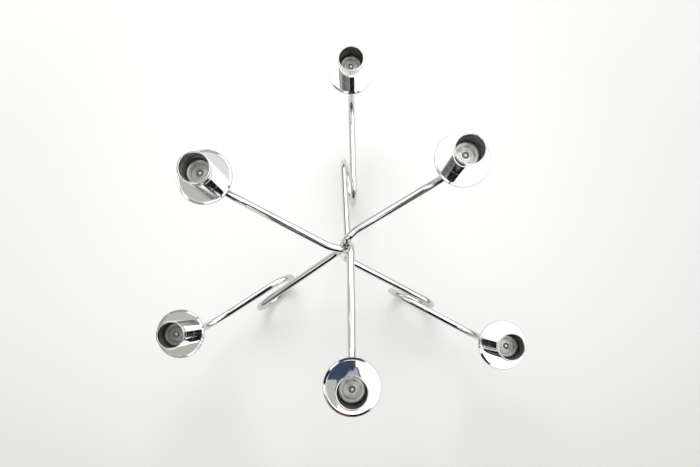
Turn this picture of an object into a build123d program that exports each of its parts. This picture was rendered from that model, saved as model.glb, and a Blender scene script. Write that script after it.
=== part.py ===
from build123d import *
import os
from dataclasses import dataclass
from math import acos, atan2, ceil, cos, degrees, radians, sin, sqrt, tan

# Chrome candelabra for taper candles.  Three round rods, bent alike, stand together as a
# bundle on the centre line.  Each rod rises from the bundle to an upper candle cup on one
# side.  On the other side it runs down, turns once round a loop that is its foot, and goes
# out to a lower candle cup.  Origin: on the bundle's centre line, at table level.  +Z up.

# ---------------------------------------------------------------- rods
ROD_DIAMETER = 7.0
ROD_END_CHAMFER = 0.5
BUNDLE_OFFSET = 4.2        # rod's centre line from the bundle's
BUNDLE_LEAN = (3.0, 1.0)   # the bundle's top from over its foot, along X and Y
FIRST_DIRECTION = 92.5     # degrees from +X to rod a's lower arm
LOWER_REACH = 173.0        # lower cup's centre from the bundle's foot
UPPER_REACH = 116.5        # upper cup's centre from the bundle's foot
ARM_BEND_DISTANCE = 14.0   # bend of an upper arm, seen from above, from the bundle's top
LOOP_RADIUS = 23.4         # centre line of the foot loop
LOOP_DISTANCE = 85.5       # loop centre from the bundle's centre line
LOOP_GAP = 1.3             # air between the two strands that pass each other over a loop
LOOP_CORNER_TURN = 42.0    # most that the loop turns at one corner of its control polygon
LOOP_ARC_SHARE = 0.49      # share of a polygon side taken up by the arc at each of its ends

# Heights of the corners that the rod's centre line would have without its bends
UPPER_SEAT_HEIGHT = 241.0  # rod end, under an upper pan
UPPER_ELBOW_HEIGHT = 193.5
BUNDLE_TOP_HEIGHT = 162.0
BUNDLE_FOOT_HEIGHT = 94.5
LOWER_ELBOW_HEIGHT = 52.0
LOWER_SEAT_HEIGHT = 134.0  # rod end, under a lower pan

# Bend radii of the centre line
UPPER_ELBOW_RADIUS = 38.0
ARM_BEND_RADIUS = 30.0
BUNDLE_TOP_RADIUS = 12.0
BUNDLE_FOOT_RADIUS = 20.0
LOWER_ELBOW_RADIUS = 36.0


@dataclass
class HandBend:
    """What bending by hand adds to one rod's nominal directions, in degrees, and reaches, in mm."""

    name: str
    lower_direction: float
    arm_direction: float   # of the arm beyond the loop, on top of lower_direction
    lower_reach: float
    upper_direction: float
    upper_reach: float
    upper_start: float     # of the upper arm before its bend, on top of upper_direction
    loop_turn: float       # of the foot loop about its upright line
    loop_lean: float       # of the foot loop about the line along its top


# In order round the bundle, clockwise seen from above
HAND_BENDS = (
    HandBend("a", 0.0, -1.0, 1.3, 1.5, -0.7, -5.5, -3.0, 0.0),
    HandBend("b", 1.7, -2.2, -0.2, 3.8, 3.0, 13.5, 0.0, 0.0),
    HandBend("c", -1.7, 2.1, -1.0, 0.3, -2.3, 11.5, -6.5, 5.2),
)

# ---------------------------------------------------------------- brazing metal in the bundle
BRAZE_DIAMETER = 3.8
BRAZE_RISE = 13.5          # its foot from the bundle's
BRAZE_LENGTH = 40.0

# ---------------------------------------------------------------- drip pans
PAN_DIAMETER = 45.0
PAN_THICKNESS = 1.0
PAN_RIM_WIDTH = 2.2        # upturned rim, seen from above
PAN_RIM_RISE = 0.9
PAN_RIM_BEND = 3.0         # bend between the flat and the rim, on its upper face
PAN_EDGE_FILLET = 0.4

# ---------------------------------------------------------------- candle cups
CUP_BORE_DIAMETER = 22.2
CUP_DIAMETER = 25.2
CUP_HEIGHT = 35.6
CUP_BORE_DEPTH = 21.0
CUP_FLOOR_FILLET = 2.4
CUP_RIM_FILLET = 0.6
CUP_FOOT_FILLET = 0.4

# ---------------------------------------------------------------- rivets that hold cup and pan
RIVET_SHANK_DIAMETER = 3.6
RIVET_HEAD_DIAMETER = 5.6
RIVET_HEAD_HEIGHT = 1.5
RIVET_REACH = 9.0          # length of shank inside the rod
RIVET_TIP_CHAMFER = 0.4
RIVET_CLEARANCE = 0.05     # all round the shank
RIVET_HOLE_SPARE = 1.0     # the hole in the rod end is this much deeper than the shank

# Sizes worked out from the ones above
ROD_RADIUS = ROD_DIAMETER / 2
LOOP_HEIGHT = LOOP_RADIUS + ROD_RADIUS
LOOP_SHIFT = ROD_DIAMETER + LOOP_GAP
CUP_FLOOR_HEIGHT = CUP_HEIGHT - CUP_BORE_DEPTH
RIVET_HOLE_RADIUS = RIVET_SHANK_DIAMETER / 2 + RIVET_CLEARANCE
RIVET_LENGTH = CUP_FLOOR_HEIGHT + PAN_THICKNESS + RIVET_REACH


# ================================================================ bent rods
def level_direction(angle):
    """Unit vector level with the table, at an angle in degrees from +X."""
    return Vector(cos(radians(angle)), sin(radians(angle)), 0)


def at_height(place, height):
    """The point over or under a place, at a height."""
    return Vector(place.X, place.Y, height)


def arc_radius(before, corner, after, length):
    """Radius of the arc that rounds a corner and starts at a given length from it."""
    turn = (corner - before).get_angle(after - corner)
    return length / tan(radians(turn / 2))


def loop_contact(distance, height, side):
    """Angle, in degrees, where a line from a point in the loop's plane touches the loop.

    The point is given by its distance from the centre line and its height.  The loop runs
    clockwise: side is 1 for a strand that arrives at it and -1 for one that leaves it.
    """
    run = distance - LOOP_DISTANCE
    rise = height - LOOP_HEIGHT
    spread = degrees(acos(LOOP_RADIUS / sqrt(run**2 + rise**2)))
    return degrees(atan2(rise, run)) - side * spread


def loop_corners(direction, reach, bend):
    """Corners of the polygon round the loop, from the strand that arrives to the one that leaves."""
    outward = level_direction(direction)
    sideways = level_direction(direction - 90)
    start = loop_contact(0, BUNDLE_FOOT_HEIGHT, 1)
    total_turn = (start - loop_contact(reach, LOWER_ELBOW_HEIGHT, -1)) % 360
    count = ceil(total_turn / LOOP_CORNER_TURN)
    step = total_turn / count
    corner_radius = LOOP_RADIUS / cos(radians(step / 2))
    corners = []
    for index in range(count):
        angle = radians(start - (index + 0.5) * step)
        run = corner_radius * cos(angle)
        rise = corner_radius * sin(angle)
        shift = BUNDLE_OFFSET + LOOP_SHIFT * index / (count - 1)
        shift += run * tan(radians(bend.loop_turn))
        shift += (rise - LOOP_RADIUS) * tan(radians(bend.loop_lean))
        place = outward * (LOOP_DISTANCE + run) + sideways * shift
        corners.append(at_height(place, LOOP_HEIGHT + rise))
    return corners


def bundle_place(nominal_direction, bend):
    """Place of one rod's centre line in the bundle's foot, seen from above."""
    return level_direction(nominal_direction + bend.lower_direction - 90) * BUNDLE_OFFSET


def rod_path(nominal_direction, bend):
    """Centre line of one rod: straight runs joined by tangent arcs, from upper to lower end."""
    direction = nominal_direction + bend.lower_direction
    bundle_foot = bundle_place(nominal_direction, bend)
    bundle_top = bundle_foot + Vector(*BUNDLE_LEAN)
    upper_direction = nominal_direction + 180 + bend.upper_direction
    upper_end = level_direction(upper_direction) * (UPPER_REACH + bend.upper_reach)
    arm_bend = bundle_top + level_direction(upper_direction + bend.upper_start) * ARM_BEND_DISTANCE
    arm_slope = (UPPER_ELBOW_HEIGHT - BUNDLE_TOP_HEIGHT) / (ARM_BEND_DISTANCE + (upper_end - arm_bend).length)
    lower_reach = LOWER_REACH + bend.lower_reach
    loop = loop_corners(direction, lower_reach, bend)
    arm_length = lower_reach - loop[-1].dot(level_direction(direction))
    lower_end = loop[-1] + level_direction(direction + bend.arm_direction) * arm_length
    points = [
        at_height(upper_end, UPPER_SEAT_HEIGHT),
        at_height(upper_end, UPPER_ELBOW_HEIGHT),
        at_height(arm_bend, BUNDLE_TOP_HEIGHT + ARM_BEND_DISTANCE * arm_slope),
        at_height(bundle_top, BUNDLE_TOP_HEIGHT),
        at_height(bundle_foot, BUNDLE_FOOT_HEIGHT),
        *loop,
        at_height(lower_end, LOWER_ELBOW_HEIGHT),
        at_height(lower_end, LOWER_SEAT_HEIGHT),
    ]
    arc_length = LOOP_ARC_SHARE * (loop[1] - loop[0]).length
    around = points[4:-1]
    loop_radii = [arc_radius(*corner, arc_length) for corner in zip(around, around[1:], around[2:])]
    upper_radii = [UPPER_ELBOW_RADIUS, ARM_BEND_RADIUS, BUNDLE_TOP_RADIUS, BUNDLE_FOOT_RADIUS]
    return FilletPolyline(*points, radius=[*upper_radii, *loop_radii, LOWER_ELBOW_RADIUS])


def make_rod(path):
    """One bent rod, with a chamfer and a hole for a rivet at each end."""
    rod = sweep(Plane(origin=path @ 0, z_dir=path % 0) * Circle(ROD_RADIUS), path=path)
    hole_depth = RIVET_REACH + RIVET_HOLE_SPARE
    for end in (path @ 0, path @ 1):
        rim = rod.edges().filter_by(GeomType.CIRCLE).sort_by(lambda edge: (edge.center() - end).length)[0]
        rod = chamfer(rim, ROD_END_CHAMFER)
        rod -= Pos(end - Vector(0, 0, hole_depth / 2)) * Cylinder(RIVET_HOLE_RADIUS, hole_depth)
    return rod


def make_braze(feet):
    """Brazing metal in the three-cornered space between the rods; it meets them face to face.

    feet holds the rods' places in the bundle.
    """
    along = Vector(*BUNDLE_LEAN, BUNDLE_TOP_HEIGHT - BUNDLE_FOOT_HEIGHT)
    across = Plane(origin=(0, 0, BUNDLE_FOOT_HEIGHT), z_dir=along)
    section = Circle(BRAZE_DIAMETER / 2)
    for foot in feet:
        centre = across.to_local_coords(at_height(foot, BUNDLE_FOOT_HEIGHT))
        section -= Pos(centre.X, centre.Y) * Circle(ROD_RADIUS)
    return extrude(across.offset(BRAZE_RISE) * section, BRAZE_LENGTH)


# ================================================================ turned and spun pieces
def turned(outline, rounded):
    """Solid of revolution about Z.

    outline holds the corners of its half section as (radius, height), and rounded holds
    (corner, fillet radius) pairs for the corners that are rounded.
    """
    section = make_face(Polyline(*outline, close=True))
    for corner, fillet_radius in rounded:
        section = fillet(section.vertices().sort_by_distance(corner)[0], fillet_radius)
    return revolve(Plane.XZ * section, Axis.Z)


def make_pan():
    """Round drip pan with an upturned rim.  Its underside is at height 0."""
    edge = PAN_DIAMETER / 2
    flat_edge = edge - PAN_RIM_WIDTH
    outline = [
        (RIVET_HOLE_RADIUS, 0),
        (flat_edge, 0),
        (edge, PAN_RIM_RISE),
        (edge, PAN_RIM_RISE + PAN_THICKNESS),
        (flat_edge, PAN_THICKNESS),
        (RIVET_HOLE_RADIUS, PAN_THICKNESS),
    ]
    rounded = [
        (outline[1], PAN_RIM_BEND + PAN_THICKNESS),
        (outline[2], PAN_EDGE_FILLET),
        (outline[3], PAN_EDGE_FILLET),
        (outline[4], PAN_RIM_BEND),
    ]
    return turned(outline, rounded)


def make_cup():
    """Candle cup: a turned cylinder with a flat-bottomed bore.  Its foot is at height 0."""
    bore = CUP_BORE_DIAMETER / 2
    wall = CUP_DIAMETER / 2
    outline = [
        (RIVET_HOLE_RADIUS, 0),
        (wall, 0),
        (wall, CUP_HEIGHT),
        (bore, CUP_HEIGHT),
        (bore, CUP_FLOOR_HEIGHT),
        (RIVET_HOLE_RADIUS, CUP_FLOOR_HEIGHT),
    ]
    rounded = [
        (outline[1], CUP_FOOT_FILLET),
        (outline[2], CUP_RIM_FILLET),
        (outline[3], CUP_RIM_FILLET),
        (outline[4], CUP_FLOOR_FILLET),
    ]
    return turned(outline, rounded)


def make_rivet():
    """Dome-headed rivet.  The underside of its head is at height 0."""
    shank = RIVET_SHANK_DIAMETER / 2
    head = RIVET_HEAD_DIAMETER / 2
    section = Polyline(
        (0, RIVET_HEAD_HEIGHT),
        (0, -RIVET_LENGTH),
        (shank - RIVET_TIP_CHAMFER, -RIVET_LENGTH),
        (shank, RIVET_TIP_CHAMFER - RIVET_LENGTH),
        (shank, 0),
        (head, 0),
    )
    dome_radius = (head**2 + RIVET_HEAD_HEIGHT**2) / (2 * RIVET_HEAD_HEIGHT)
    dome = RadiusArc((head, 0), (0, RIVET_HEAD_HEIGHT), -dome_radius)
    return revolve(Plane.XZ * make_face(section + dome), Axis.Z)


# ================================================================ the whole candelabra
def make_nodes():
    """Every piece of the candelabra in its place, by name."""
    nodes = {}
    pan = make_pan()
    cup = make_cup()
    rivet = make_rivet()
    feet = []
    for index, bend in enumerate(HAND_BENDS):
        nominal_direction = FIRST_DIRECTION - 360 / len(HAND_BENDS) * index
        feet.append(bundle_place(nominal_direction, bend))
        path = rod_path(nominal_direction, bend)
        nodes[f"rod_{bend.name}"] = make_rod(path)
        for tier, end in (("upper", path @ 0), ("lower", path @ 1)):
            pan_top = end + Vector(0, 0, PAN_THICKNESS)
            cup_floor = pan_top + Vector(0, 0, CUP_FLOOR_HEIGHT)
            nodes[f"drip_pan_{tier}_{bend.name}"] = Pos(end) * pan
            nodes[f"candle_cup_{tier}_{bend.name}"] = Pos(pan_top) * cup
            nodes[f"rivet_{tier}_{bend.name}"] = Pos(cup_floor) * rivet
    nodes["bundle_braze"] = make_braze(feet)
    return nodes


os.makedirs("parts", exist_ok=True)
for name, solid in make_nodes().items():
    export_step(solid, f"parts/{name}.step")
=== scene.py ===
"""Looks of the chrome tabletop candelabra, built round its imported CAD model.

The three bent rods keep their CAD meshes and get a worn mirror plating.  Cups, drip pans and
rivets are modelled again with turned and spun detail, each in the place of its CAD node.  The
studio has a pale floor, one soft light and a few cards that only the chrome can see.
"""

import logging
import math
from collections.abc import Callable, Iterator
from contextlib import contextmanager
from dataclasses import dataclass, field, replace
from enum import Enum
from typing import Any

import bmesh
import bpy
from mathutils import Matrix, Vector


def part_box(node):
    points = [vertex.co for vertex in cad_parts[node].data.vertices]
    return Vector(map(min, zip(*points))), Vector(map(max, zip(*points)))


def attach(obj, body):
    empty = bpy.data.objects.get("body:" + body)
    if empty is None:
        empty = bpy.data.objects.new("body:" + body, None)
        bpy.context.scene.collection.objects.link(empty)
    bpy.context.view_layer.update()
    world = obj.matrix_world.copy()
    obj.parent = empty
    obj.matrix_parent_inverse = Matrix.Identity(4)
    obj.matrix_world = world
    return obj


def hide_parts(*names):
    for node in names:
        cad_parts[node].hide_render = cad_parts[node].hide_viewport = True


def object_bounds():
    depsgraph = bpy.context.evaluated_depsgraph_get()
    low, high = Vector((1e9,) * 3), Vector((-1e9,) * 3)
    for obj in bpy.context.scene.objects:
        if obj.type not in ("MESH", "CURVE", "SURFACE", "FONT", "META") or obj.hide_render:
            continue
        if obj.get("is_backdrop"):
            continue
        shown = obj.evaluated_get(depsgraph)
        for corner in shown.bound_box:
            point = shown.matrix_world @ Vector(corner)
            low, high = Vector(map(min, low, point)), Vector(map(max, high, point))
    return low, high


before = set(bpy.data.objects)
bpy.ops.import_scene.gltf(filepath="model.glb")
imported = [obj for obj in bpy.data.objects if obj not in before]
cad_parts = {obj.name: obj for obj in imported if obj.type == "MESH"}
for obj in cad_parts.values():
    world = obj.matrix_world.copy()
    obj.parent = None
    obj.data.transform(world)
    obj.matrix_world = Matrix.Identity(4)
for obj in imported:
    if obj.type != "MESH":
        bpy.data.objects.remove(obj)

log = logging.getLogger("candelabra")

MM = 0.001
BODY = "root"
LOCAL_PLACE = "local_place"  # attribute: a point's place from its own piece's axis and foot
UP = Vector((0.0, 0.0, 1.0))

SAME_POINT = 0.001 * MM  # points this close are welded
SAME_LEVEL = 0.01 * MM  # heights this close are one level
SAME_RADIUS = 0.03 * MM  # distances from an axis this close are one circle
ON_AXIS = 0.05 * MM  # a face's middle this close to an axis is on it
NEARBY = 0.1 * MM  # looser than the others, where nothing else lies within it
SHARP_ANGLE = math.radians(35)
LEVEL_FACE = 0.5  # a face whose normal is at least this upright lies level
MIX_COLOURS = (6, 7)  # a Mix node's inputs for its two colours
MIX_RESULT = 2  # a Mix node's output for the mixed colour

Colour = tuple[float, float, float]
Span = tuple[float, float]
FaceTest = Callable[[Vector, Vector], bool]
EdgeTest = Callable[[Vector, Vector], bool]


# ---------------------------------------------------------------- shader sketching
class Wire:
    """A shader value that can be used in Python arithmetic, which adds Math nodes."""

    def __init__(self, sketch: "Sketch", socket: bpy.types.NodeSocket) -> None:
        """Wrap an output socket of a node in a sketch."""
        self.sketch = sketch
        self.socket = socket

    def __add__(self, other: "Wire | float") -> "Wire":
        """Add a value to this one."""
        return self.sketch.math("ADD", self, other)

    def __radd__(self, other: float) -> "Wire":
        """Add this value to a number."""
        return self.sketch.math("ADD", other, self)

    def __sub__(self, other: "Wire | float") -> "Wire":
        """Take a value from this one."""
        return self.sketch.math("SUBTRACT", self, other)

    def __rsub__(self, other: float) -> "Wire":
        """Take this value from a number."""
        return self.sketch.math("SUBTRACT", other, self)

    def __mul__(self, other: "Wire | float") -> "Wire":
        """Multiply this value by another."""
        return self.sketch.math("MULTIPLY", self, other)

    def __rmul__(self, other: float) -> "Wire":
        """Multiply a number by this value."""
        return self.sketch.math("MULTIPLY", other, self)


class Sketch:
    """The node tree of one material, with a single way to add a node."""

    def __init__(self, tree: bpy.types.NodeTree) -> None:
        """Start from an empty tree."""
        self.tree = tree
        tree.nodes.clear()

    def add(
        self,
        kind: str,
        settings: dict[str, Any] | None = None,
        sockets: dict[str | int, Any] | None = None,
        output: str | int = 0,
    ) -> Wire:
        """Add a node.

        Args:
            kind: Blender's name of the node's type.
            settings: the node's own properties.
            sockets: values or wires for its input sockets, by name or number.
            output: the output socket that is wanted, by name or number.

        Returns:
            The wanted output, as a wire.
        """
        node = self.tree.nodes.new(kind)
        for name, value in (settings or {}).items():
            setattr(node, name, value)
        for name, value in (sockets or {}).items():
            if isinstance(value, Wire):
                self.tree.links.new(value.socket, node.inputs[name])
            else:
                node.inputs[name].default_value = value
        return Wire(self, node.outputs[output]) if node.outputs else Wire(self, node.inputs[0])

    def math(self, operation: str, first: Wire | float, second: Wire | float) -> Wire:
        """Join two values with a Math node.

        Args:
            operation: the Math node's operation.
            first: its first value.
            second: its second value.

        Returns:
            The result.
        """
        return self.add("ShaderNodeMath", {"operation": operation}, {0: first, 1: second})

    def clamp(self, value: Wire) -> Wire:
        """Hold a value between 0 and 1."""
        return self.add("ShaderNodeClamp", None, {"Value": value, "Min": 0.0, "Max": 1.0})

    def step(self, value: Wire, low: float, high: float) -> Wire:
        """Turn a value into a smooth step that is 0 at low and 1 at high."""
        sockets = {"Value": value, "From Min": low, "From Max": high}
        return self.add("ShaderNodeMapRange", {"interpolation_type": "SMOOTHSTEP"}, sockets)

    def mix(self, factor: Wire | float, first: Wire | Colour, second: Wire | Colour) -> Wire:
        """Mix two colours.

        Args:
            factor: 0 gives the first colour and 1 the second.
            first: a colour or a wire that carries one.
            second: a colour or a wire that carries one.

        Returns:
            The mixed colour.
        """
        colours = [value if isinstance(value, Wire) else (*value, 1.0) for value in (first, second)]
        sockets = {"Factor": factor, **dict(zip(MIX_COLOURS, colours))}
        return self.add("ShaderNodeMix", {"data_type": "RGBA"}, sockets, output=MIX_RESULT)

    def place(self) -> Wire:
        """The shaded point's place in the frame, in metres."""
        return self.add("ShaderNodeTexCoord", output="Object")

    def local_place(self) -> Wire:
        """The shaded point's place from its own piece's axis and foot, in metres."""
        return self.add("ShaderNodeAttribute", {"attribute_name": LOCAL_PLACE}, output="Vector")

    def part(self, place: Wire, axis: str) -> Wire:
        """One coordinate of a place or a direction, by its axis."""
        return self.add("ShaderNodeSeparateXYZ", None, {0: place}, output=axis)

    def noise(self, place: Wire, size: float, detail: float = 2.0) -> Wire:
        """Noise in lumps of a given size.

        Args:
            place: the position that the noise is read at.
            size: a lump's width, in metres.
            detail: how many finer layers are added.

        Returns:
            A value around 0.5.
        """
        return self.add("ShaderNodeTexNoise", None, {"Vector": place, "Scale": 1 / size, "Detail": detail})

    def axis_distance(self, place: Wire) -> Wire:
        """How far a place is from the upright axis through its origin, in metres."""
        level = self.add("ShaderNodeVectorMath", {"operation": "MULTIPLY"}, {0: place, 1: (1.0, 1.0, 0.0)})
        return self.add("ShaderNodeVectorMath", {"operation": "LENGTH"}, {0: level}, output="Value")

    def along(self, distance: Wire, size: float, detail: float = 2.0) -> Wire:
        """Noise that changes along one distance only, as the tool marks of a lathe do."""
        sockets = {"W": distance, "Scale": 1 / size, "Detail": detail}
        return self.add("ShaderNodeTexNoise", {"noise_dimensions": "1D"}, sockets)

    def bump(self, height: Wire, depth: float) -> Wire:
        """Normals of a relief, from its height between 0 and 1 and its depth in metres."""
        return self.add("ShaderNodeBump", None, {"Height": height, "Distance": depth, "Strength": 1.0})


# ---------------------------------------------------------------- finishes
def new_material(name: str) -> tuple[bpy.types.Material, Sketch]:
    """Make a material with an empty node tree.

    Args:
        name: the material's name.

    Returns:
        The material, and the sketch that its nodes are added to.
    """
    material = bpy.data.materials.new(name)
    material.use_nodes = True
    return material, Sketch(material.node_tree)


@dataclass(frozen=True)
class Finish:
    """What every finish of the object has: a name and a principled shader."""

    name: str
    tint: Colour
    metallic: float = 1.0
    roughness: float = 0.05

    def material(self) -> bpy.types.Material:
        """Make the finish.

        Returns:
            A material with its own node tree.
        """
        material, sketch = new_material(self.name)
        sockets = {"Base Color": (*self.tint, 1.0), "Metallic": self.metallic, "Roughness": self.roughness}
        sockets.update(self.detail(sketch))
        shader = sketch.add("ShaderNodeBsdfPrincipled", None, sockets)
        sketch.add("ShaderNodeOutputMaterial", None, {"Surface": shader})
        return material

    def detail(self, sketch: Sketch) -> dict[str, Any]:
        """Say what varies over the surface.

        Args:
            sketch: the material's node tree.

        Returns:
            Wires for sockets of the principled shader, by name.
        """
        raise NotImplementedError


@dataclass(frozen=True)
class RodPlating(Finish):
    """Chrome on drawn and bent rod: mirror bright, faintly wavy, scuffed where it stands."""

    wave_length: float = 9 * MM
    wave_depth: float = 0.012 * MM
    haze_size: float = 2.5 * MM
    haze_span: Span = (0.45, 0.75)
    haze: float = 0.05
    scuff_height: float = 2.2 * MM
    scuff_size: float = 0.4 * MM
    scuff_span: Span = (0.35, 0.65)
    scuff: float = 0.3
    shade: Colour = (0.54, 0.54, 0.52)
    shade_share: float = 0.5

    def detail(self, sketch: Sketch) -> dict[str, Any]:
        """Draw waves from bending, a patchy haze and a scuffed foot.

        Args:
            sketch: the material's node tree.

        Returns:
            Wires for the shader's base colour, roughness and normal, by socket name.
        """
        place = sketch.place()
        waves = sketch.noise(place, self.wave_length, detail=1.0)
        patches = sketch.step(sketch.noise(place, self.haze_size, detail=4.0), *self.haze_span)
        foot = 1 - sketch.step(sketch.part(place, "Z"), 0.0, self.scuff_height)
        worn = foot * sketch.step(sketch.noise(place, self.scuff_size, detail=3.0), *self.scuff_span)
        return {
            "Base Color": sketch.mix((patches + worn) * self.shade_share, self.tint, self.shade),
            "Roughness": self.roughness + patches * self.haze + worn * self.scuff,
            "Normal": sketch.bump(waves, self.wave_depth),
        }


@dataclass(frozen=True)
class SpunPlating(Finish):
    """Chrome on a turned or spun piece, with polishing rings round its axis and a few specks."""

    ring_width: float = 0.5 * MM
    ring_depth: float = 0.0006 * MM
    dish_width: float = 14 * MM
    dish_depth: float = 0.03 * MM
    haze: float = 0.04
    speck_size: float = 0.5 * MM
    speck_span: Span = (0.70, 0.78)
    speck_shade: float = 0.6
    speck_haze: float = 0.2
    shade: Colour = (0.52, 0.52, 0.51)

    def detail(self, sketch: Sketch) -> dict[str, Any]:
        """Draw rings, a slow dishing of the sheet, haze and specks.

        Args:
            sketch: the material's node tree.

        Returns:
            Wires for the shader's base colour, roughness and normal, by socket name.
        """
        local, place = sketch.local_place(), sketch.place()
        rings = sketch.along(sketch.axis_distance(local) + sketch.part(local, "Z"), self.ring_width)
        dish = sketch.noise(place, self.dish_width, detail=0.0)
        relief = dish * (self.dish_depth / MM) + rings * (self.ring_depth / MM)  # in millimetres
        specks = sketch.step(sketch.noise(place, self.speck_size, detail=1.0), *self.speck_span)
        return {
            "Base Color": sketch.mix(specks * self.speck_shade, self.tint, self.shade),
            "Roughness": self.roughness + rings * self.haze + specks * self.speck_haze,
            "Normal": sketch.bump(relief, MM),
        }


@dataclass(frozen=True)
class BoreSteel(Finish):
    """The unpolished wall of a candle bore, with fine feed marks and soot-brown stains."""

    feed: float = 0.35 * MM
    feed_depth: float = 0.004 * MM
    feed_haze: float = 0.12
    stain_size: float = 7 * MM
    stain_span: Span = (0.40, 0.70)
    stain_haze: float = 0.08
    stain: Colour = (0.085, 0.08, 0.065)

    def detail(self, sketch: Sketch) -> dict[str, Any]:
        """Draw feed marks up the wall, and stains across them.

        Args:
            sketch: the material's node tree.

        Returns:
            Wires for the shader's base colour, roughness and normal, by socket name.
        """
        marks = sketch.along(sketch.part(sketch.local_place(), "Z"), self.feed, detail=3.0)
        stains = sketch.step(sketch.noise(sketch.place(), self.stain_size, detail=4.0), *self.stain_span)
        return {
            "Base Color": sketch.mix(stains, self.tint, self.stain),
            "Roughness": self.roughness + marks * self.feed_haze + stains * self.stain_haze,
            "Normal": sketch.bump(marks, self.feed_depth),
        }


@dataclass(frozen=True)
class TurnedFloor(Finish):
    """The floor of a candle bore as the tool left it, with rings round its axis."""

    ring_width: float = 0.3 * MM
    ring_depth: float = 0.010 * MM
    ring_middle: float = 0.45
    ring_contrast: float = 1.2
    band_width: float = 1.5 * MM
    band_middle: float = 0.5
    band_contrast: float = 3.2
    stain_size: float = 4 * MM
    stain_span: Span = (0.42, 0.72)
    stain_share: float = 0.5
    haze: float = 0.10
    stain: Colour = (0.22, 0.215, 0.20)

    def detail(self, sketch: Sketch) -> dict[str, Any]:
        """Draw fine tool rings, broader bright and dull bands, and stains across them.

        Args:
            sketch: the material's node tree.

        Returns:
            Wires for the shader's base colour, roughness and normal, by socket name.
        """
        distance = sketch.axis_distance(sketch.local_place())
        rings = sketch.along(distance, self.ring_width)
        bands = sketch.along(distance, self.band_width, detail=1.0)
        stains = sketch.step(sketch.noise(sketch.place(), self.stain_size, detail=4.0), *self.stain_span)
        ringing = (rings - self.ring_middle) * self.ring_contrast
        banding = (bands - self.band_middle) * self.band_contrast
        dullness = sketch.clamp(stains * self.stain_share + (ringing + banding))
        return {
            "Base Color": sketch.mix(dullness, self.tint, self.stain),
            "Roughness": self.roughness + (rings + stains) * self.haze,
            "Normal": sketch.bump(rings, self.ring_depth),
        }


@dataclass(frozen=True)
class BrazeAlloy(Finish):
    """Brazing metal under a thin, patchy plating."""

    lump_size: float = 1.4 * MM
    lump_depth: float = 0.15 * MM
    bare_span: Span = (0.48, 0.62)
    bare_haze: float = 0.2
    bare: Colour = (0.62, 0.47, 0.24)

    def detail(self, sketch: Sketch) -> dict[str, Any]:
        """Draw lumps of the cooled metal, bare where the plating missed them.

        Args:
            sketch: the material's node tree.

        Returns:
            Wires for the shader's base colour, roughness and normal, by socket name.
        """
        lumps = sketch.noise(sketch.place(), self.lump_size, detail=3.0)
        missed = sketch.step(lumps, *self.bare_span)
        return {
            "Base Color": sketch.mix(missed, self.tint, self.bare),
            "Roughness": self.roughness + missed * self.bare_haze,
            "Normal": sketch.bump(lumps, self.lump_depth),
        }


@dataclass(frozen=True)
class TableTop(Finish):
    """The pale matt floor that the candelabra stands on, with painted shade towards its front and its edges
    where the lamp's light falls off.
    """

    cloud_size: float = 0.4
    grain_size: float = 1.2 * MM
    grain_depth: float = 0.02 * MM
    grain_haze: float = 0.1
    shade: Colour = (0.93, 0.93, 0.92)
    # painted shade: the four colours below darken the front and the far edges, standing for the lamp's
    # falloff
    painted_front_shade: Colour = (0.885, 0.88, 0.86)
    edge: Colour = (0.857, 0.857, 0.842)
    painted_front_corner_shade: Colour = (0.793, 0.788, 0.755)
    front_shade_span: Span = (0.02, 0.32)
    edge_shade_span: Span = (0.12, 0.45)

    def detail(self, sketch: Sketch) -> dict[str, Any]:
        """Draw slow clouds in the colour, painted shade at the front and the edges, and a fine grain.

        Args:
            sketch: the material's node tree.

        Returns:
            Wires for the shader's base colour, roughness and normal, by socket name.
        """
        place = sketch.place()
        clouds = sketch.noise(place, self.cloud_size)
        grain = sketch.noise(place, self.grain_size, detail=3.0)
        # masks of the painted shade: towards the front, and away from the middle
        front_shade_mask = sketch.step(0 - sketch.part(place, "Y"), *self.front_shade_span)
        edge_shade_mask = sketch.step(sketch.axis_distance(place), *self.edge_shade_span)
        middle = sketch.mix(front_shade_mask, sketch.mix(clouds, self.tint, self.shade), self.painted_front_shade)
        edge = sketch.mix(front_shade_mask, self.edge, self.painted_front_corner_shade)
        return {
            "Base Color": sketch.mix(edge_shade_mask, middle, edge),
            "Roughness": self.roughness + grain * self.grain_haze,
            "Normal": sketch.bump(grain, self.grain_depth),
        }


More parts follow.
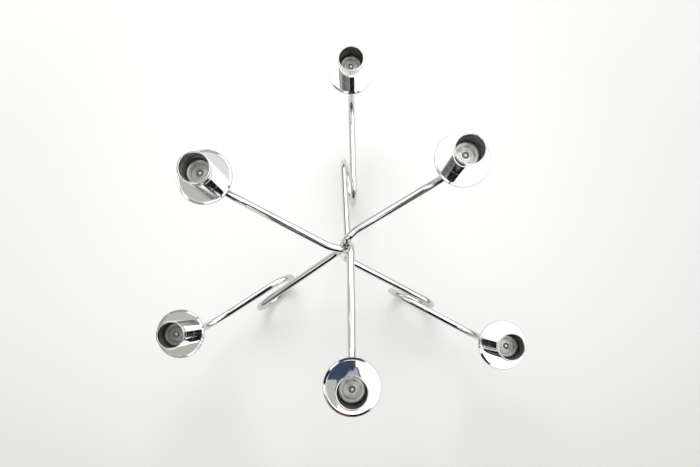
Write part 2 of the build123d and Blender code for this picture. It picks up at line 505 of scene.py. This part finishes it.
class Metal(Enum):
    """The finishes that the candelabra's pieces can have."""

    ROD = RodPlating("rod_chrome", (0.64, 0.64, 0.63), roughness=0.02, haze=0.035)
    PAN = SpunPlating("pan_chrome", (0.66, 0.66, 0.655), roughness=0.025)
    # the lip's dark tint is painted reflection: the dark line that the pan's rounded edge shows all round
    LIP = SpunPlating("pan_lip_painted_dark_line", (0.30, 0.30, 0.29), roughness=0.30)
    CUP = SpunPlating("cup_chrome", (0.65, 0.65, 0.645), roughness=0.03, dish_depth=0.012 * MM)
    BORE = BoreSteel("bore_steel", (0.24, 0.232, 0.21), metallic=0.5, roughness=0.32)
    # the cove's tint, darker than the floor's, is painted shade in the corner where the floor meets the wall
    COVE = TurnedFloor("cup_cove_steel", (0.36, 0.355, 0.335), roughness=0.26)
    FLOOR = TurnedFloor("cup_floor_steel", (0.48, 0.475, 0.45), roughness=0.26)
    # the three darker copies below are painted shade: bore, cove and floor of the cups that stand in less
    # light
    SOOTED_BORE = replace(
        BORE, name="bore_steel_painted_shade", tint=(0.115, 0.112, 0.100), stain=(0.040, 0.038, 0.030)
    )
    SOOTED_COVE = replace(
        COVE, name="cup_cove_steel_painted_shade", tint=(0.19, 0.187, 0.175), stain=(0.11, 0.107, 0.10)
    )
    SOOTED_FLOOR = replace(
        FLOOR, name="cup_floor_steel_painted_shade", tint=(0.34, 0.335, 0.31), stain=(0.10, 0.097, 0.09)
    )
    RIVET = SpunPlating(
        "rivet_steel", (0.82, 0.815, 0.80), metallic=0.85, roughness=0.45, dish_depth=0.004 * MM
    )
    BRAZE = BrazeAlloy("braze_alloy", (0.72, 0.68, 0.58), roughness=0.25)


class FinishShop:
    """Makes each material once and hands it out."""

    def __init__(self) -> None:
        """Start with no material made."""
        self._made: dict[Metal, bpy.types.Material] = {}

    def get(self, metal: Metal) -> bpy.types.Material:
        """Hand out the material of a finish, and make it first if it is new.

        Args:
            metal: the wanted finish.

        Returns:
            Its material.
        """
        if metal not in self._made:
            self._made[metal] = metal.value.material()
        return self._made[metal]


# ---------------------------------------------------------------- the bench
class Workpiece:
    """A mesh that is shaped with Blender's own edit tools, as by hand."""

    def __init__(self, name: str) -> None:
        """Take over the object that a primitive's operator has just added.

        Args:
            name: the piece's name.
        """
        self.obj = bpy.context.object
        self.obj.name = name
        self.obj.data.name = name

    @staticmethod
    def clear_bench() -> None:
        """Deselect everything, so that the next operator acts on one piece alone."""
        bpy.ops.object.select_all(action="DESELECT")

    @classmethod
    def disc_stock(cls, name: str, radius: float, foot: Vector, height: float, sides: int) -> "Workpiece":
        """Put round stock on the bench.

        Args:
            name: the piece's name.
            radius: the stock's radius.
            foot: the middle of its underside.
            height: its height.
            sides: how many sides stand for the round.

        Returns:
            The new workpiece.
        """
        cls.clear_bench()
        bpy.ops.mesh.primitive_cylinder_add(
            vertices=sides, radius=radius, depth=height, location=foot + UP * height / 2
        )
        return cls(name)

    @classmethod
    def ball_stock(cls, name: str, radius: float, centre: Vector, sides: int) -> "Workpiece":
        """Put a ball on the bench.

        Args:
            name: the piece's name.
            radius: the ball's radius.
            centre: its middle.
            sides: how many segments it has round its axis.

        Returns:
            The new workpiece.
        """
        cls.clear_bench()
        bpy.ops.mesh.primitive_uv_sphere_add(
            segments=sides, ring_count=sides, radius=radius, location=centre
        )
        return cls(name)

    @contextmanager
    def editing(self) -> Iterator[None]:
        """Keep the piece in edit mode, with nothing selected at the start.

        Returns:
            A context that leaves edit mode again at its end.
        """
        bpy.context.view_layer.objects.active = self.obj
        bpy.ops.object.mode_set(mode="EDIT")
        bpy.ops.mesh.select_all(action="DESELECT")
        yield
        bpy.ops.object.mode_set(mode="OBJECT")

    def _world(self, point: Vector) -> Vector:
        """A mesh point's place in the frame."""
        return self.obj.matrix_world @ point

    def pick_faces(self, test: FaceTest) -> None:
        """Select faces in edit mode.

        Args:
            test: says whether a face is wanted, from its middle and its normal.
        """
        bpy.ops.mesh.select_mode(type="FACE")
        bpy.ops.mesh.select_all(action="DESELECT")
        mesh = bmesh.from_edit_mesh(self.obj.data)
        for face in mesh.faces:
            face.select_set(test(self._world(face.calc_center_median()), face.normal))
        bmesh.update_edit_mesh(self.obj.data)

    def pick_edges(self, test: EdgeTest) -> None:
        """Select edges in edit mode.

        Args:
            test: says whether an edge is wanted, from its two ends.
        """
        bpy.ops.mesh.select_mode(type="EDGE")
        bpy.ops.mesh.select_all(action="DESELECT")
        mesh = bmesh.from_edit_mesh(self.obj.data)
        for edge in mesh.edges:
            start, end = (self._world(vert.co) for vert in edge.verts)
            edge.select_set(test(start, end))
        bmesh.update_edit_mesh(self.obj.data)

    @staticmethod
    def inset(width: float) -> None:
        """Draw the selected face's outline inwards."""
        bpy.ops.mesh.inset(thickness=width, use_even_offset=True)

    @staticmethod
    def move(rise: float) -> None:
        """Raise the selection, or lower it by a negative rise."""
        bpy.ops.transform.translate(value=(0.0, 0.0, rise))

    @staticmethod
    def extrude(rise: float) -> None:
        """Extrude the selected faces upwards, or down by a negative rise."""
        bpy.ops.mesh.extrude_region_move(TRANSFORM_OT_translate={"value": (0.0, 0.0, rise)})

    @staticmethod
    def bevel(width: float, segments: int) -> None:
        """Round the selected edges."""
        bpy.ops.mesh.bevel(offset=width, offset_type="OFFSET", segments=segments, affect="EDGES")

    def settle(self) -> bpy.types.Object:
        """Finish the mesh: normals outward, smooth shading, and its place in its vertices.

        Returns:
            The finished object, which stands unturned and unscaled at the origin.
        """
        with self.editing():
            bpy.ops.mesh.select_all(action="SELECT")
            bpy.ops.mesh.remove_doubles(threshold=SAME_POINT)
            bpy.ops.mesh.normals_make_consistent(inside=False)
        self.clear_bench()
        self.obj.select_set(True)
        bpy.ops.object.transform_apply(location=True, rotation=True, scale=True)
        bpy.ops.object.shade_smooth_by_angle(angle=SHARP_ANGLE)
        bpy.ops.object.modifier_add(type="WEIGHTED_NORMAL")
        self.obj.modifiers[-1].keep_sharp = True
        bpy.ops.object.modifier_apply(modifier=self.obj.modifiers[-1].name)
        return self.obj


def duplicate(piece: bpy.types.Object, name: str, shift: Vector) -> bpy.types.Object:
    """Copy a finished piece to another place, with a mesh of its own.

    Args:
        piece: the piece to copy.
        name: the copy's name.
        shift: how far the copy is moved.

    Returns:
        The copy, which stands at the origin too.
    """
    Workpiece.clear_bench()
    bpy.context.view_layer.objects.active = piece
    piece.select_set(True)
    bpy.ops.object.duplicate(linked=False)
    copy = bpy.context.object
    copy.name = name
    copy.data.name = name
    copy.location = shift
    bpy.ops.object.transform_apply(location=True, rotation=False, scale=False)
    return copy


def mark_local_place(piece: bpy.types.Object, foot: Vector) -> None:
    """Store each point's place from its piece's axis and foot, for the finishes to read.

    Args:
        piece: a finished piece.
        foot: where its axis meets its underside.
    """
    attribute = piece.data.attributes.new(LOCAL_PLACE, "FLOAT_VECTOR", "POINT")
    for vertex, value in zip(piece.data.vertices, attribute.data):
        value.vector = vertex.co - foot


def level_distance(point: Vector, axis: Vector) -> float:
    """Distance of a point from an upright axis."""
    return (point - axis).xy.length


# ---------------------------------------------------------------- turned and spun pieces
@dataclass
class RoundPiece:
    """What cups, pans and rivets share: one is modelled and the rest are copies of it."""

    shop: FinishShop
    kind: str
    slot: str
    sides: int = 128

    @property
    def nodes(self) -> list[str]:
        """Names of the CAD nodes of this kind."""
        return sorted(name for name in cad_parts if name.startswith(f"{self.kind}_"))

    def foot(self, node: str) -> Vector:
        """Middle of the underside of a node's box."""
        low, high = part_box(node)
        return Vector(((low.x + high.x) / 2, (low.y + high.y) / 2, low.z))

    def size(self) -> tuple[float, float]:
        """Radius and height of one piece, from its node's box."""
        low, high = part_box(self.nodes[0])
        return (high.x - low.x) / 2, high.z - low.z

    @staticmethod
    def is_ring(start: Vector, end: Vector, foot: Vector, height: float, radius: float) -> bool:
        """Whether an edge lies on the circle of a given height and radius round the axis."""
        level = max(abs(point.z - height) for point in (start, end)) < SAME_LEVEL
        return level and all(abs(level_distance(p, foot) - radius) < SAME_RADIUS for p in (start, end))

    def lay_on(self, piece: bpy.types.Object, metals: tuple[Metal, ...]) -> None:
        """Give a piece's material slots their finishes, in order.

        Args:
            piece: the finished object.
            metals: one finish for each slot.
        """
        piece.data.materials.clear()
        for metal in metals:
            piece.data.materials.append(self.shop.get(metal))

    def model(self, name: str, foot: Vector) -> bpy.types.Object:
        """Model one piece.

        Args:
            name: the new piece's name.
            foot: where its axis meets its underside.

        Returns:
            The finished object.
        """
        raise NotImplementedError

    def dress(self, piece: bpy.types.Object, foot: Vector) -> None:
        """Give a piece its finishes.

        Args:
            piece: the finished object.
            foot: where its axis meets its underside.
        """
        raise NotImplementedError

    def age(self, piece: bpy.types.Object, node: str) -> None:
        """Paint shade on one piece alone, where it stands in less light; most kinds have none.

        Args:
            piece: the finished and dressed object.
            node: the CAD node that it stands for.
        """

    def build(self) -> None:
        """Make every piece of this kind and let it stand for its CAD node."""
        first, *others = self.nodes
        first_foot = self.foot(first)
        pattern = self.model(f"{first}_look", first_foot)
        mark_local_place(pattern, first_foot)
        self.dress(pattern, first_foot)
        pieces = {first: pattern}
        for node in others:
            pieces[node] = duplicate(pattern, f"{node}_look", self.foot(node) - first_foot)
        for node, piece in pieces.items():
            self.age(piece, node)
            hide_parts(node)
            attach(piece, BODY)
            log.info("%s stands for %s, %d faces", piece.name, node, len(piece.data.polygons))


@dataclass
class CandleCup(RoundPiece):
    """Turned candle cup: a plain cylinder, bored to a ringed floor, with a rivet hole."""

    kind: str = "candle_cup"
    slot: str = "cup_chrome"
    wall: float = 1.5 * MM
    bore_depth: float = 21.0 * MM
    rim_round: float = 0.6 * MM
    foot_round: float = 0.4 * MM
    floor_round: float = 2.4 * MM
    rivet_hole: float = 1.85 * MM
    ring_count: int = 5
    ring_flat: float = 0.3 * MM
    ring_slope: float = 0.2 * MM
    ring_depth: float = 0.06 * MM
    rivet_land: float = 1.65 * MM
    cove_share: float = 0.35
    linings: tuple[Metal, ...] = (Metal.CUP, Metal.BORE, Metal.COVE, Metal.FLOOR)
    # cups whose bore linings get painted shade, as they stand in less light than the rest
    shaded_cups: tuple[str, ...] = ("upper_a", "lower_a", "lower_b", "lower_c")
    shade_linings: tuple[Metal, ...] = (Metal.SOOTED_BORE, Metal.SOOTED_COVE, Metal.SOOTED_FLOOR)

    def model(self, name: str, foot: Vector) -> bpy.types.Object:
        """Bore the stock, ring its floor, drill it and round its edges.

        Args:
            name: the new cup's name.
            foot: where its axis meets its underside.

        Returns:
            The finished cup.
        """
        radius, height = self.size()
        bore = radius - self.wall
        top = foot.z + height
        floor = top - self.bore_depth
        cup = Workpiece.disc_stock(name, radius, foot, height, self.sides)
        with cup.editing():
            cup.pick_faces(lambda middle, normal: normal.z > LEVEL_FACE)
            cup.inset(self.wall)
            cup.extrude(-self.bore_depth)
            self.ring_floor(cup, bore)
            cup.pick_faces(lambda middle, normal: normal.z < -LEVEL_FACE)
            cup.inset(radius - self.rivet_hole)
            cup.pick_faces(lambda middle, normal: self.is_hole_end(middle, normal, foot, floor))
            bpy.ops.mesh.bridge_edge_loops()
            cup.pick_edges(lambda a, b: self.is_ring(a, b, foot, floor, bore))
            cup.bevel(self.floor_round, segments=10)
            cup.pick_edges(lambda a, b: min(a.z, b.z) > top - SAME_LEVEL)
            cup.bevel(self.rim_round, segments=5)
            cup.pick_edges(lambda a, b: self.is_ring(a, b, foot, foot.z, radius))
            cup.bevel(self.foot_round, segments=3)
        return cup.settle()

    def ring_floor(self, cup: Workpiece, bore: float) -> None:
        """Turn shallow rings into the selected floor, then leave a flat round the rivet.

        Args:
            cup: the cup, with its floor selected.
            bore: the bore's radius.
        """
        pitch = 2 * (self.ring_flat + self.ring_slope)
        land = self.rivet_hole + self.rivet_land
        cup.inset(bore - land - self.ring_count * pitch)
        for _ in range(self.ring_count):
            for rise in (-self.ring_depth, self.ring_depth):
                cup.inset(self.ring_slope)
                cup.move(rise)
                cup.inset(self.ring_flat)
        cup.inset(self.rivet_land)

    def is_hole_end(self, middle: Vector, normal: Vector, foot: Vector, floor: float) -> bool:
        """Whether a face is the small disc that closes the rivet hole, above or below."""
        ends = abs(middle.z - floor) < NEARBY or middle.z < foot.z + SAME_LEVEL
        return ends and level_distance(middle, foot) < ON_AXIS

    def dress(self, piece: bpy.types.Object, foot: Vector) -> None:
        """Plate the outside, leave the bore as it was turned, and paint shade into the cove round its floor.

        Args:
            piece: the finished cup.
            foot: where its axis meets its underside.
        """
        radius, height = self.size()
        floor = foot.z + height - self.bore_depth
        self.lay_on(piece, self.linings)
        for face in piece.data.polygons:
            distance = level_distance(face.center, foot)
            inside = distance < radius - self.wall + SAME_LEVEL
            above_floor = face.center.z > floor - 2 * self.ring_depth
            below_rim = face.center.z < foot.z + height - self.rim_round
            if inside and above_floor and below_rim:
                on_flat = distance < radius - self.wall - self.floor_round
                # the lower part of the cove takes the cove finish, whose darker tint is painted shade
                in_cove = face.center.z < floor + self.cove_share * self.floor_round
                lining = Metal.FLOOR if on_flat else Metal.COVE if in_cove else Metal.BORE
                face.material_index = self.linings.index(lining)

    def age(self, piece: bpy.types.Object, node: str) -> None:
        """Paint shade into the bore of a cup that stands in less light than the others.

        Args:
            piece: the finished and dressed cup.
            node: the CAD node that it stands for.
        """
        if node.endswith(self.shaded_cups):
            for place, metal in enumerate(self.shade_linings, start=1):
                piece.data.materials[place] = self.shop.get(metal)


@dataclass
class DripPan(RoundPiece):
    """Round spun drip pan with an upturned rim."""

    kind: str = "drip_pan"
    slot: str = "pan_chrome"
    sides: int = 160
    sheet: float = 1.0 * MM
    rim_width: float = 2.2 * MM
    rivet_hole: float = 1.85 * MM
    edge_round: float = 0.4 * MM
    upper_bend: float = 3.0 * MM
    lip: float = 0.45 * MM

    def model(self, name: str, foot: Vector) -> bpy.types.Object:
        """Turn the rim of a disc up, drill it and round its bends and edges.

        Args:
            name: the new pan's name.
            foot: where its axis meets its underside.

        Returns:
            The finished pan.
        """
        radius, height = self.size()
        rise = height - self.sheet
        flat = radius - self.rim_width
        half_turn = math.atan2(rise, self.rim_width) / 2
        upper_width = self.upper_bend * math.tan(half_turn)
        lower_width = (self.upper_bend + self.sheet) * math.tan(half_turn)
        pan = Workpiece.disc_stock(name, radius, foot, self.sheet, self.sides)
        with pan.editing():
            pan.pick_faces(lambda middle, normal: abs(normal.z) > LEVEL_FACE)
            pan.inset(self.rim_width)
            pan.pick_edges(lambda a, b: min(level_distance(p, foot) for p in (a, b)) > radius - NEARBY)
            pan.move(rise)
            pan.pick_faces(lambda middle, normal: level_distance(middle, foot) < ON_AXIS)
            pan.inset(flat - self.rivet_hole)
            bpy.ops.mesh.bridge_edge_loops()
            pan.pick_edges(lambda a, b: self.is_ring(a, b, foot, foot.z + self.sheet, flat))
            pan.bevel(upper_width, segments=6)
            pan.pick_edges(lambda a, b: self.is_ring(a, b, foot, foot.z, flat))
            pan.bevel(lower_width, segments=6)
            pan.pick_edges(lambda a, b: self.is_outer_ring(a, b, foot, radius))
            pan.bevel(self.edge_round, segments=4)
        return pan.settle()

    @staticmethod
    def is_outer_ring(start: Vector, end: Vector, foot: Vector, radius: float) -> bool:
        """Whether an edge runs round the pan's outermost circle, on its upper or lower side."""
        outermost = all(level_distance(p, foot) > radius - ON_AXIS for p in (start, end))
        return outermost and abs(start.z - end.z) < SAME_LEVEL

    def dress(self, piece: bpy.types.Object, foot: Vector) -> None:
        """Plate the pan all over, with a rougher lip where the sheet was cut, painted darker to draw the
        dark line that the rounded edge reflects.

        Args:
            piece: the finished pan.
            foot: where its axis meets its underside.
        """
        self.lay_on(piece, (Metal.PAN, Metal.LIP))
        lip_start = max(level_distance(corner.co, foot) for corner in piece.data.vertices) - self.lip
        for face in piece.data.polygons:
            face.material_index = int(level_distance(face.center, foot) > lip_start)


@dataclass
class Rivet(RoundPiece):
    """Dome-headed rivet: a cap cut from a ball, with a shank drawn out of its flat side."""

    kind: str = "rivet"
    slot: str = "rivet_chrome"
    sides: int = 64
    head_height: float = 1.5 * MM
    shank_radius: float = 1.8 * MM
    tip_round: float = 0.4 * MM

    def model(self, name: str, foot: Vector) -> bpy.types.Object:
        """Cut the head from a ball and extrude the shank.

        Args:
            name: the new rivet's name.
            foot: where its axis meets its lowest point.

        Returns:
            The finished rivet.
        """
        head, height = self.size()
        ball = (head**2 + self.head_height**2) / (2 * self.head_height)
        seat = foot + UP * (height - self.head_height)
        rivet = Workpiece.ball_stock(name, ball, seat + UP * (self.head_height - ball), self.sides)
        with rivet.editing():
            bpy.ops.mesh.select_all(action="SELECT")
            bpy.ops.mesh.bisect(
                plane_co=seat, plane_no=UP, use_fill=True, clear_inner=True, clear_outer=False
            )
            rivet.pick_faces(lambda middle, normal: normal.z < -LEVEL_FACE)
            rivet.inset(head - self.shank_radius)
            rivet.extrude(foot.z - seat.z)
            rivet.pick_edges(lambda a, b: max(a.z, b.z) < foot.z + SAME_LEVEL)
            rivet.bevel(self.tip_round, segments=3)
        return rivet.settle()

    def dress(self, piece: bpy.types.Object, foot: Vector) -> None:
        """Leave the rivet bright."""
        self.lay_on(piece, (Metal.RIVET,))


# ---------------------------------------------------------------- carried-over CAD pieces
@dataclass
class RodBundle:
    """The three bent rods and the brazing metal between them, in their CAD shapes."""

    shop: FinishShop
    finishes: dict[str, Metal] = field(default_factory=lambda: {"rod_": Metal.ROD, "bundle_": Metal.BRAZE})

    def build(self) -> None:
        """Give each rod, and the metal that joins them, its finish."""
        for name, node in sorted(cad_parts.items()):
            for prefix, metal in self.finishes.items():
                if name.startswith(prefix):
                    for slot in node.material_slots:
                        slot.material = self.shop.get(metal)
                    log.info("%s keeps its shape, finish %s", name, metal.value.name)


# ---------------------------------------------------------------- studio
class Paint(Enum):
    """How brightly each card glows, in red, green and blue."""

    BLACK = (0.015, 0.016, 0.020)
    NAVY = (0.060, 0.095, 0.160)
    BROWN = (0.30, 0.14, 0.09)
    OLIVE = (0.24, 0.245, 0.20)
    DARK_GREY = (0.37, 0.37, 0.35)
    STEEL_BLUE = (0.62, 0.70, 0.82)
    GREY = (0.72, 0.71, 0.68)
    BEIGE = (0.68, 0.65, 0.57)
    PALE = (1.10, 1.12, 1.12)
    SKY = (2.5, 2.5, 2.5)


@dataclass(frozen=True)
class Card:
    """A flat card with soft edges that only the chrome sees.

    It lies level, is leaned about its own X axis and then turned about the upright, in degrees.
    Feather is the share of the card over which it fades out at each edge.
    """

    name: str
    paint: Paint
    centre: tuple[float, float, float]
    size: tuple[float, float]
    turn: float = 0.0
    lean: float = 0.0
    feather: float = 0.12

    def material(self) -> bpy.types.Material:
        """Paint the card, fading out towards its edges.

        Returns:
            A glowing material, so that no lamp changes what the chrome shows.
        """
        material, sketch = new_material(self.name)
        sheet = sketch.add("ShaderNodeTexCoord", output="UV")
        cover: Wire | float = 1.0
        for axis in ("X", "Y"):
            across = sketch.part(sheet, axis)
            cover = cover * sketch.step(across, 0.0, self.feather)
            cover = cover * sketch.step(1 - across, 0.0, self.feather)
        glow = sketch.add("ShaderNodeEmission", None, {"Color": (*self.paint.value, 1.0)})
        clear = sketch.add("ShaderNodeBsdfTransparent")
        shader = sketch.add("ShaderNodeMixShader", None, {0: cover, 1: clear, 2: glow})
        sketch.add("ShaderNodeOutputMaterial", None, {"Surface": shader})
        return material


@dataclass
class Studio:
    """Floor, light, reflection cards and camera."""

    floor: TableTop = TableTop("floor_matt", (0.968, 0.968, 0.952), metallic=0.0, roughness=0.75)
    floor_side: float = 8.0
    sky_on_chrome: float = 2.5
    sky_on_floor: float = 0.725
    horizon: Colour = (0.16, 0.16, 0.135)
    horizon_rise: Span = (0.12, 0.50)
    horizon_lean: float = 0.16
    lamp_place: tuple[float, float, float] = (-0.12, 1.00, 1.20)
    lamp_side: float = 0.9
    lamp_power: float = 11.5
    camera_place: tuple[float, float, float] = (0.00828, -0.05555, 0.74326)
    camera_turn: tuple[float, float, float] = (0.1157, 0.0036, 0.0)
    camera_lens: float = 33.0
    camera_sensor: float = 36.0
    camera_near: float = 0.01
    cards: tuple[Card, ...] = (
        Card("card_over", Paint.BLACK, (0.008, -0.062, 0.760), (0.110, 0.095)),
        Card("card_over_south", Paint.NAVY, (0.005, -0.137, 0.762), (0.120, 0.075)),
        Card("card_over_east", Paint.BLACK, (0.090, -0.065, 0.764), (0.085, 0.110)),
        Card("card_over_brown", Paint.BROWN, (0.135, -0.238, 0.750), (0.070, 0.036)),
        Card("card_over_brown_south", Paint.BROWN, (0.030, -0.188, 0.759), (0.070, 0.028)),
        Card("card_over_black_south", Paint.BLACK, (0.186, -0.234, 0.751), (0.050, 0.040)),
        Card("card_by_hub_east", Paint.OLIVE, (0.040, 0.026, 0.350), (0.100, 0.024), turn=-24.0),
        Card("card_arm_west", Paint.BLACK, (-0.060, -0.195, 0.756), (0.080, 0.250), turn=-25.0),
        Card("card_arm_east", Paint.BLACK, (0.110, -0.195, 0.757), (0.070, 0.235), turn=31.0),
        Card("card_high_west", Paint.DARK_GREY, (-0.205, -0.005, 1.000), (0.330, 0.410), feather=0.15),
        Card("card_high_middle", Paint.DARK_GREY, (-0.110, 0.050, 1.004), (0.120, 0.300), feather=0.40),
        Card("card_high_olive", Paint.OLIVE, (-0.205, 0.045, 0.997), (0.250, 0.150)),
        Card("card_high_north", Paint.GREY, (-0.270, 0.320, 1.008), (0.200, 0.400)),
        Card("card_by_upper_b", Paint.PALE, (-0.146, 0.080, 0.400), (0.085, 0.085)),
        Card("card_by_upper_b_west", Paint.GREY, (-0.168, 0.058, 0.398), (0.060, 0.100), turn=45.0),
        Card("card_by_lower_c", Paint.GREY, (-0.197, -0.086, 0.300), (0.085, 0.085)),
        Card("card_by_lower_c_south", Paint.BEIGE, (-0.197, -0.113, 0.298), (0.085, 0.050)),
        Card("card_by_upper_a", Paint.SKY, (0.008, -0.127, 0.335), (0.058, 0.055), feather=0.03),
        Card("card_by_upper_a_north", Paint.NAVY, (-0.006, -0.1056, 0.300), (0.036, 0.0176), feather=0.04),
        Card("card_by_upper_a_corner", Paint.NAVY, (-0.010, -0.1070, 0.299), (0.020, 0.020), feather=0.06),
        Card("card_by_upper_a_west", Paint.GREY, (-0.0124, -0.1272, 0.301), (0.019, 0.037)),
        Card("card_by_upper_a_cup", Paint.STEEL_BLUE, (0.008, -0.0875, 0.360), (0.045, 0.019)),
        Card("card_by_rim_a_east", Paint.SKY, (0.041, -0.149, 0.305), (0.044, 0.075), lean=90.0),
        Card("card_by_rim_a_south", Paint.BLACK, (0.013, -0.148, 0.289), (0.014, 0.038), lean=90.0),
        Card("card_by_rim_a_brown", Paint.BROWN, (-0.006, -0.148, 0.295), (0.029, 0.050), lean=90.0),
        Card(
            "card_by_rim_a_west", Paint.BLACK, (-0.037, -0.116, 0.308), (0.036, 0.050), turn=90.0, lean=90.0
        ),
        Card("card_by_rim_a_north", Paint.NAVY, (-0.008, -0.066, 0.290), (0.125, 0.070), lean=90.0),
        Card("card_by_rim_of_upper_c", Paint.SKY, (0.099, 0.012, 0.302), (0.048, 0.066), lean=90.0),
        Card("card_by_rim_of_upper_b", Paint.SKY, (-0.095, 0.0, 0.283), (0.042, 0.034), lean=90.0),
        Card("card_by_rim_of_lower_a", Paint.SKY, (0.0008, 0.1872, 0.188), (0.008, 0.008)),
        Card("card_by_rim_of_lower_c", Paint.SKY, (-0.137, -0.106, 0.185), (0.042, 0.042), lean=90.0),
        Card("board_near", Paint.BLACK, (0.0375, -0.205, 0.165), (0.245, 0.270), lean=90.0, feather=0.05),
        Card("board_near_west", Paint.BLACK, (-0.060, -0.115, 0.130), (0.13, 0.10), lean=90.0, feather=0.05),
        Card("board_south_low", Paint.OLIVE, (0.0, -0.420, 0.250), (1.0, 0.50), lean=90.0, feather=0.04),
        Card("board_south", Paint.BLACK, (0.06, -0.422, 1.220), (0.40, 1.46), lean=90.0, feather=0.03),
        Card(
            "board_west", Paint.GREY, (-0.5, -0.025, 0.45), (0.85, 0.76), turn=90.0, lean=90.0, feather=0.05
        ),
        Card(
            "board_east", Paint.OLIVE, (0.5, 0.05, 0.085), (0.85, 0.17), turn=90.0, lean=90.0, feather=0.05
        ),
    )

    def build(self) -> None:
        """Set up everything that isn't part of the object."""
        self.lay_floor()
        self.light()
        for card in self.cards:
            self.hang(card)
        self.place_camera()

    def lay_floor(self) -> None:
        """Lay the pale floor at the height that the candelabra stands on."""
        Workpiece.clear_bench()
        low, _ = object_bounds()
        bpy.ops.mesh.primitive_plane_add(size=self.floor_side, location=(0.0, 0.0, low[2]))
        floor = bpy.context.object
        floor.name = "floor"
        floor.data.materials.append(self.floor.material())
        floor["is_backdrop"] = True

    def light(self) -> None:
        """Light the scene with an even sky and one large soft lamp behind the candelabra."""
        world = bpy.data.worlds.new("studio")
        bpy.context.scene.world = world
        world.use_nodes = True
        sketch = Sketch(world.node_tree)
        sky = sketch.add("ShaderNodeBackground", None, {"Color": self.sky_colour(sketch), "Strength": 1.0})
        sketch.add("ShaderNodeOutputWorld", None, {"Surface": sky})
        bpy.ops.object.light_add(type="AREA", location=self.lamp_place)
        lamp = bpy.context.object
        lamp.name = "soft_lamp"
        lamp.data.size = self.lamp_side
        lamp.data.energy = self.lamp_power
        lamp.visible_glossy = False
        to_origin = -Vector(self.lamp_place)
        lamp.rotation_euler = to_origin.to_track_quat("-Z", "Y").to_euler()

    def sky_colour(self, sketch: Sketch) -> Wire:
        """Draw the room that the chrome sees: a white sky over a dark horizon, higher in the west.

        Args:
            sketch: the world's node tree.

        Returns:
            The sky's colour, which is plain for everything but the chrome.
        """
        direction = sketch.add("ShaderNodeTexCoord", output="Generated")
        rise = sketch.part(direction, "Z") + sketch.part(direction, "X") * self.horizon_lean
        bright = sketch.step(rise, *self.horizon_rise)
        plain = (self.sky_on_floor,) * 3
        room = sketch.mix(bright, self.horizon, (self.sky_on_chrome,) * 3)
        on_chrome = sketch.add("ShaderNodeLightPath", output="Is Glossy Ray")
        return sketch.mix(on_chrome, plain, room)

    @staticmethod
    def hang(card: Card) -> None:
        """Hang one card where only reflections see it.

        Args:
            card: the card's place, size and paint.
        """
        Workpiece.clear_bench()
        turn = (math.radians(card.lean), 0.0, math.radians(card.turn))
        bpy.ops.mesh.primitive_plane_add(size=1.0, location=card.centre, rotation=turn)
        board = bpy.context.object
        board.name = card.name
        board.scale = (*card.size, 1.0)
        board.data.materials.append(card.material())
        board.visible_camera = False
        board.visible_diffuse = False
        board.visible_shadow = False
        board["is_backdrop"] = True

    def place_camera(self) -> None:
        """Hang the camera over the candelabra."""
        bpy.ops.object.camera_add(location=self.camera_place, rotation=self.camera_turn)
        camera = bpy.context.object
        camera.data.lens = self.camera_lens
        camera.data.sensor_width = self.camera_sensor
        camera.data.clip_start = self.camera_near
        bpy.context.scene.camera = camera
        bpy.context.scene.view_settings.view_transform = "Standard"


def main() -> None:
    """Build the candelabra's looks and the studio."""
    logging.basicConfig(level=logging.INFO, format="%(name)s: %(message)s")
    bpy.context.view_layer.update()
    shop = FinishShop()
    RodBundle(shop).build()
    DripPan(shop).build()
    CandleCup(shop).build()
    Rivet(shop).build()
    Studio().build()


if __name__ == "__main__":
    main()
